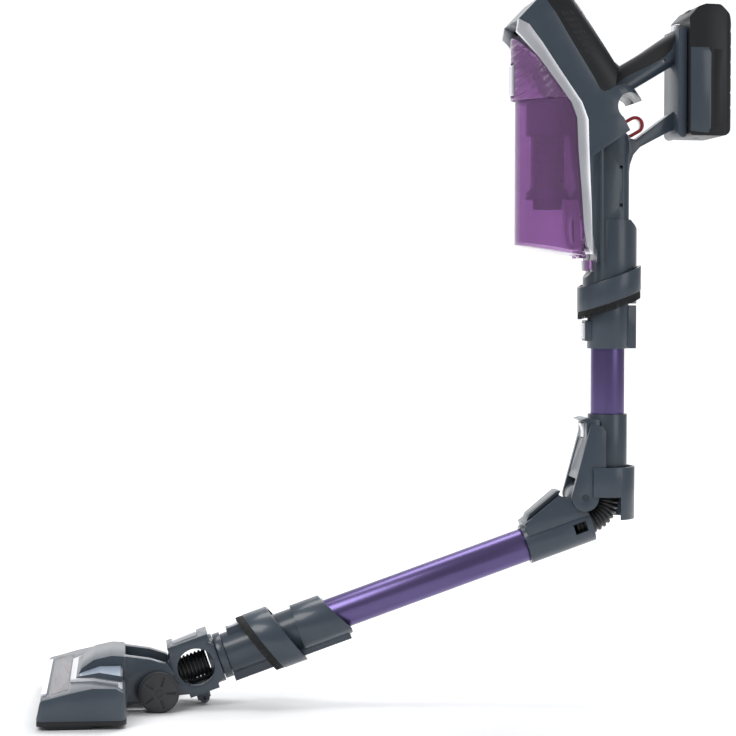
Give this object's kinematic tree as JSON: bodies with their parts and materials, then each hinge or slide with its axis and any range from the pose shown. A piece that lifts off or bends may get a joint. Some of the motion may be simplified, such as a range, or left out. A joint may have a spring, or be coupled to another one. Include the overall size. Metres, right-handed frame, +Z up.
{
  "type": "cordless stick vacuum",
  "caption": "Cordless stick vacuum with a folding wand, a translucent dust bin, a ring trigger, sliding dusting brushes and a powered floor head.",
  "frame": {"origin": "middle of the object's footprint, on the floor", "axes": "+Z up, -X the way the vacuum is pushed, Y across the floor head"},
  "size_m": [0.7266, 0.251, 0.7417],
  "materials": {
    "body_blue": "satin",
    "black": "satin",
    "soft_black": "soft touch",
    "silver": "silver paint",
    "steel": "brushed",
    "motor": "plated",
    "fan": "machined",
    "board": "printed board",
    "filter": "pleated paper",
    "foam": "open foam",
    "pale_blue": "satin",
    "white": "gloss",
    "red": "gloss",
    "bristle": "bristles",
    "cells": "shrink sleeve",
    "bin_clear": "translucent",
    "separator": "satin",
    "anodised": "purple anodised",
    "hose": "corrugated",
    "dark_cover": "satin",
    "window_clear": "clear",
    "led": "frosted",
    "roller_core": "satin",
    "roller_bristle": "bristles",
    "wheel": "satin"
  },
  "bodies": {
    "handset": {"body_shell_left": "body_blue", "body_shell_right": "body_blue", "shell_screws": "steel", "trim_ring": "silver", "vent_cover": "black", "exhaust_filter": "filter", "grip_cover": "soft_black", "motor_can": "motor", "control_board": "board", "inlet_pipe": "body_blue", "neck_sleeve": "body_blue", "battery_dock": "pale_blue"},
    "fan": {"impeller": "fan"},
    "tube_release": {"tube_release_button": "white"},
    "upper_brush": {"brush_collar_upper": "body_blue", "bristles_upper": "bristle"},
    "trigger": {"trigger": "red"},
    "speed_button": {"speed_button": "silver"},
    "battery": {"battery_case": "black", "battery_cells": "cells"},
    "battery_latch": {"battery_latch": "black"},
    "bin": {"bin_shell": "bin_clear", "bin_top": "bin_clear", "foam_filter": "foam", "separator_body": "separator", "mesh_screen": "separator", "separator_skirt": "separator", "lid_hinge_pin": "steel"},
    "bin_catch": {"bin_catch": "silver"},
    "bin_lid": {"bin_lid": "bin_clear"},
    "bin_tab": {"bin_release_tab": "bin_clear"},
    "wand": {"upper_tube": "anodised", "flex_upper_housing": "body_blue", "flex_pin": "dark_cover", "hose_guard": "body_blue", "flex_hose": "hose"},
    "flex_button": {"flex_button": "white"},
    "lower_arm": {"flex_lower_housing": "body_blue", "flex_top_cover": "dark_cover", "lower_tube": "anodised", "tube_end_housing": "body_blue"},
    "neck_release": {"neck_release_button": "white"},
    "lower_brush": {"brush_collar_lower": "body_blue", "bristles_lower": "bristle"},
    "connector": {"neck_connector": "body_blue"},
    "yoke": {"neck_yoke": "body_blue", "neck_hose": "hose"},
    "pedal": {"head_release_pedal": "white"},
    "caster": {"rear_caster": "black"},
    "head": {"head_housing": "body_blue", "window": "window_clear", "led_strip": "led", "head_trim": "silver", "sole_plate": "black", "roller_motor": "motor", "axle_pins": "wheel"},
    "roller": {"roller_core": "roller_core", "roller_bristles": "roller_bristle"},
    "wheel_left": {"wheel_left": "wheel"},
    "wheel_right": {"wheel_right": "wheel"}
  },
  "joints": [
    {"name": "fan_spin", "type": "hinge", "parent": "handset", "child": "fan", "pos_m": [0.18005, 0, 0.66173], "axis": [0.8211, 0, 0.5707], "continuous": true},
    {"name": "trigger_pull", "type": "hinge", "parent": "handset", "child": "trigger", "pos_m": [0.24805, 0, 0.60773], "axis": [0, -1, 0], "range_deg": [0, 8], "stiffness_Nm_per_rad": 0.3},
    {"name": "speed_press", "type": "slide", "parent": "handset", "child": "speed_button", "axis": [0, 0, -1], "range_m": [0, 0.003], "stiffness_N_per_m": 300},
    {"name": "battery_slide", "type": "slide", "parent": "handset", "child": "battery", "axis": [1, 0, 0], "range_m": [0, 0.06]},
    {"name": "battery_latch_press", "type": "slide", "parent": "battery", "child": "battery_latch", "axis": [0, 0, -1], "range_m": [0, 0.0025], "stiffness_N_per_m": 400},
    {"name": "bin_slide", "type": "slide", "parent": "handset", "child": "bin", "axis": [-1, 0, 0], "range_m": [0, 0.07]},
    {"name": "bin_catch_press", "type": "slide", "parent": "bin", "child": "bin_catch", "axis": [1, 0, 0], "range_m": [0, 0.002], "stiffness_N_per_m": 300},
    {"name": "bin_lid_swing", "type": "hinge", "parent": "bin", "child": "bin_lid", "pos_m": [0.20855, 0, 0.47223], "axis": [0, -1, 0], "range_deg": [0, 80]},
    {"name": "bin_tab_press", "type": "slide", "parent": "handset", "child": "bin_tab", "axis": [0, 0, -1], "range_m": [0, 0.002], "stiffness_N_per_m": 300},
    {"name": "tube_release_press", "type": "slide", "parent": "handset", "child": "tube_release", "axis": [1, 0, 0], "range_m": [0, 0.0024], "stiffness_N_per_m": 300},
    {"name": "upper_brush_slide", "type": "slide", "parent": "handset", "child": "upper_brush", "axis": [0, 0, -1], "range_m": [0, 0.038]},
    {"name": "wand_slide", "type": "slide", "parent": "handset", "child": "wand", "axis": [0, 0, -1], "range_m": [0, 0.06]},
    {"name": "flex_button_press", "type": "slide", "parent": "wand", "child": "flex_button", "axis": [1, 0, 0], "range_m": [0, 0.002], "stiffness_N_per_m": 300},
    {"name": "flex_fold", "type": "hinge", "parent": "wand", "child": "lower_arm", "pos_m": [0.21105, 0, 0.21473], "axis": [0, 1, 0], "range_deg": [-70.8, 0], "deforming": ["flex_hose"]},
    {"name": "neck_release_press", "type": "slide", "parent": "lower_arm", "child": "neck_release", "axis": [0.3289, 0, -0.9444], "range_m": [0, 0.0024], "stiffness_N_per_m": 300},
    {"name": "lower_brush_slide", "type": "slide", "parent": "lower_arm", "child": "lower_brush", "axis": [-0.9444, 0, -0.3289], "range_m": [0, 0.02]},
    {"name": "head_slide", "type": "slide", "parent": "lower_arm", "child": "connector", "axis": [-0.9444, 0, -0.3289], "range_m": [0, 0.05]},
    {"name": "neck_swivel", "type": "hinge", "parent": "connector", "child": "yoke", "pos_m": [-0.20061, 0, 0.04066], "axis": [0.9444, 0, 0.3289], "range_deg": [-50, 50]},
    {"name": "pedal_press", "type": "slide", "parent": "yoke", "child": "pedal", "axis": [0.3289, 0, -0.9444], "range_m": [0, 0.0012], "stiffness_N_per_m": 300},
    {"name": "caster_spin", "type": "hinge", "parent": "yoke", "child": "caster", "pos_m": [-0.19193, 0, 0.00662], "axis": [0, 1, 0], "continuous": true},
    {"name": "neck_pitch", "type": "hinge", "parent": "yoke", "child": "head", "pos_m": [-0.24035, 0, 0.021], "axis": [0, 1, 0], "range_deg": [-12, 60], "deforming": ["neck_hose"]},
    {"name": "roller_spin", "type": "hinge", "parent": "head", "child": "roller", "pos_m": [-0.33535, 0, 0.0162], "axis": [0, 1, 0], "continuous": true},
    {"name": "wheel_left_spin", "type": "hinge", "parent": "head", "child": "wheel_left", "pos_m": [-0.24035, 0, 0.021], "axis": [0, 1, 0], "continuous": true},
    {"name": "wheel_right_spin", "type": "hinge", "parent": "head", "child": "wheel_right", "pos_m": [-0.24035, 0, 0.021], "axis": [0, 1, 0], "continuous": true}
  ]
}
